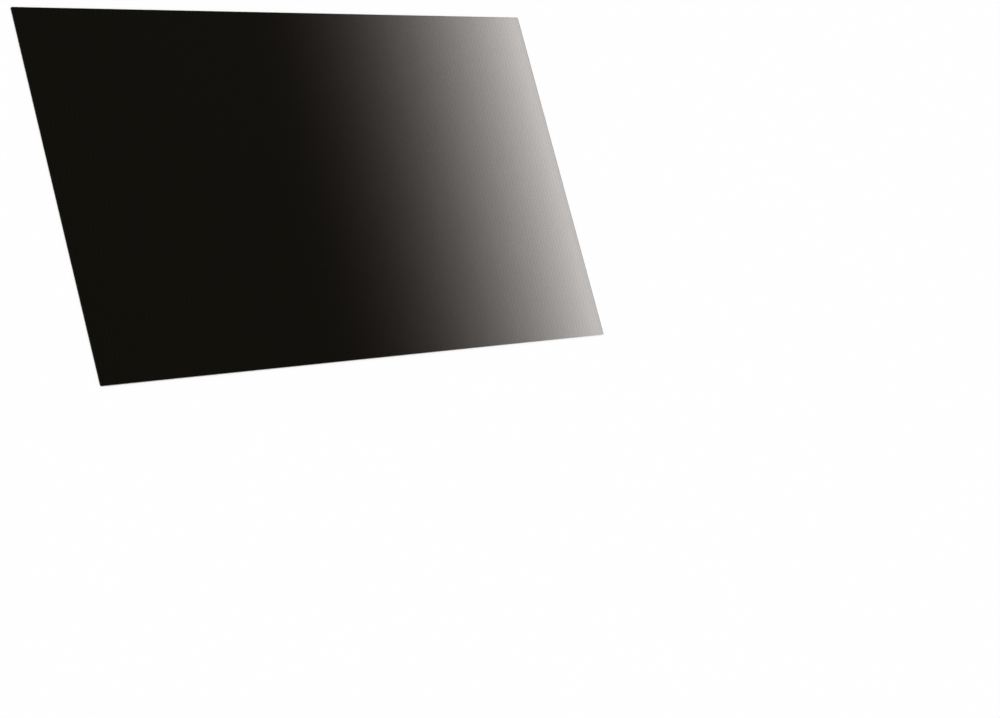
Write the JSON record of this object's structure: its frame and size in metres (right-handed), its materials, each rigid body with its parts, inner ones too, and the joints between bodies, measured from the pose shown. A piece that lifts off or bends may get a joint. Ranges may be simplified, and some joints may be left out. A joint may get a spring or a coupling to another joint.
{
  "type": "privacy filter",
  "caption": "Flat rectangular sheet of dark louvre film that covers a wide display, so that the screen reads only from straight ahead and looks black from the side.",
  "frame": {"origin": "middle of the back face, the face that goes against the display; the sheet lies on it", "axes": "+X along the long side, towards the clearer end; +Y along the short side, towards the top edge; +Z out of the front face"},
  "size_m": [0.344, 0.194, 0.0005],
  "materials": {
    "louvre_film": "near-black louvre film with a satin anti-glare coat, opaque at one end and fading to a clear smoke grey at the other"
  },
  "bodies": {
    "root": {"filter_sheet": "louvre_film"}
  },
  "joints": []
}
